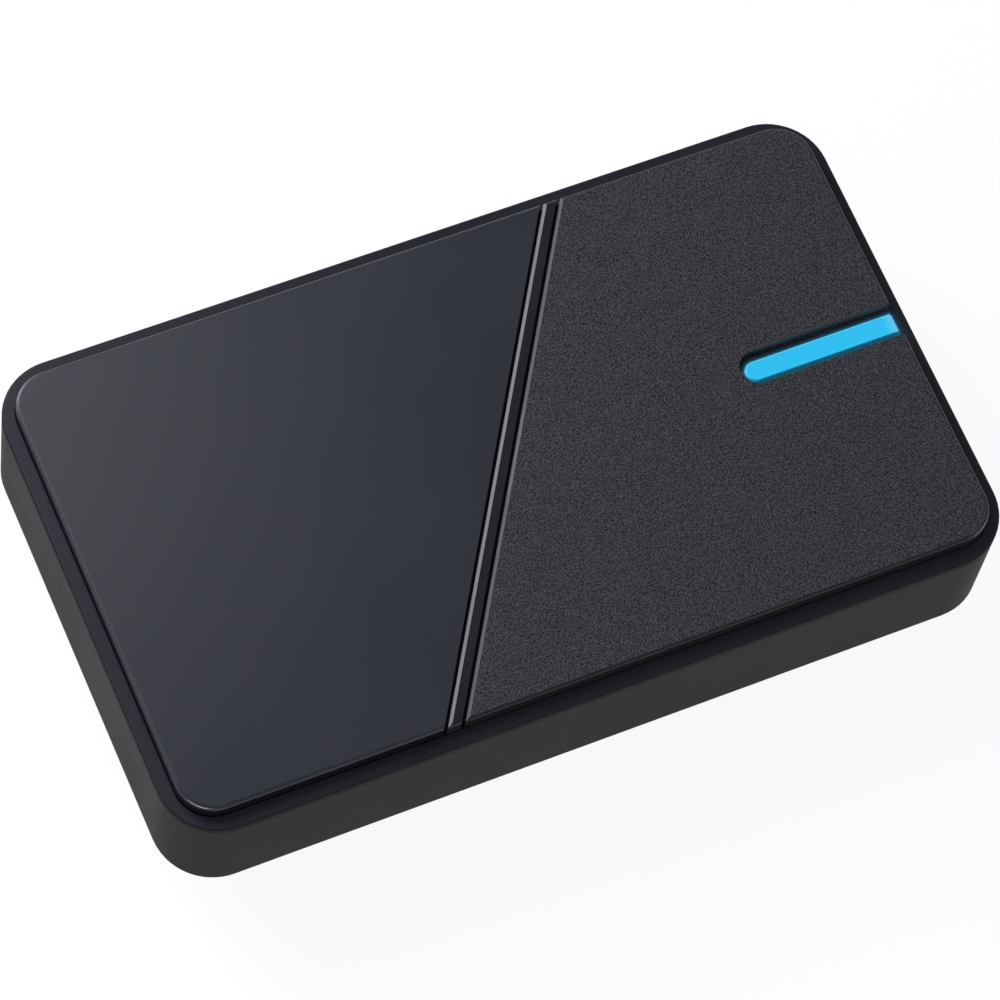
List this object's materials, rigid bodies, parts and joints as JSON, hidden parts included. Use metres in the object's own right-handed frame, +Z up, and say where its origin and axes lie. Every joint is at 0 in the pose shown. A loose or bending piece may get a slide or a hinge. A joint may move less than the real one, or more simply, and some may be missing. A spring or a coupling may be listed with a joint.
{
  "type": "video capture box",
  "caption": "Flat rounded box for capturing video, with a raised two-part top plate split by a slanted trim strip, a glowing blue bar, and sockets on the back wall.",
  "frame": {"origin": "middle of the box, on the surface that its feet stand on", "axes": "+X along the long side towards the light bar's end, +Y towards the socket wall, +Z up"},
  "size_m": [0.1126, 0.0662, 0.026],
  "materials": {
    "case_plastic": "fine satin moulding",
    "cover_plastic": "fine satin moulding",
    "smooth_satin": "smooth satin",
    "textured_grain": "fine sparkle grain",
    "trim_plastic": "smooth, semi-gloss",
    "light_diffuser": "milky blue diffuser",
    "reflector_white": "moulded white",
    "board_laminate": "green solder mask",
    "lamp_body": "clear resin",
    "chip_black": "moulded black",
    "pad_grey": "soft silicone",
    "sink_aluminium": "extruded, clear anodised",
    "pin_nylon": "natural nylon",
    "shield_tin": "tin plated",
    "shell_steel": "nickel plated",
    "insulator_black": "moulded black",
    "contact_gold": "gold plated",
    "ferrite_grey": "pressed ferrite",
    "can_aluminium": "drawn can",
    "ceramic_tan": "ceramic",
    "crystal_can": "plated can",
    "socket_ivory": "moulded",
    "cable_white": "laminated film",
    "screw_steel": "black zinc",
    "foot_rubber": "moulded rubber",
    "label_film": "bare film"
  },
  "bodies": {
    "root": {"bottom_case": "case_plastic", "top_cover": "cover_plastic", "smooth_panel": "smooth_satin", "textured_panel": "textured_grain", "diagonal_trim": "trim_plastic", "light_bar": "light_diffuser", "light_reflector": "reflector_white", "led_board": "board_laminate", "bar_leds": "lamp_body", "led_board_screws": "screw_steel", "led_board_socket": "socket_ivory", "main_board_socket": "socket_ivory", "flat_cable": "cable_white", "main_board": "board_laminate", "capture_processor": "chip_black", "thermal_pad": "pad_grey", "heat_sink": "sink_aluminium", "heat_sink_pins": "pin_nylon", "memory_chips": "chip_black", "receiver_chip": "chip_black", "receiver_shield": "shield_tin", "output_chip": "chip_black", "data_chip": "chip_black", "flash_chip": "chip_black", "power_regulators": "chip_black", "power_inductors": "ferrite_grey", "bulk_capacitors": "can_aluminium", "chip_capacitors": "ceramic_tan", "crystals": "crystal_can", "video_in_shell": "shell_steel", "video_in_insulator": "insulator_black", "video_in_contacts": "contact_gold", "video_out_shell": "shell_steel", "video_out_insulator": "insulator_black", "video_out_contacts": "contact_gold", "data_port_shell": "shell_steel", "data_port_insulator": "insulator_black", "data_port_contacts": "contact_gold", "case_screws": "screw_steel", "rubber_feet": "foot_rubber", "label_plate": "label_film"}
  },
  "joints": []
}
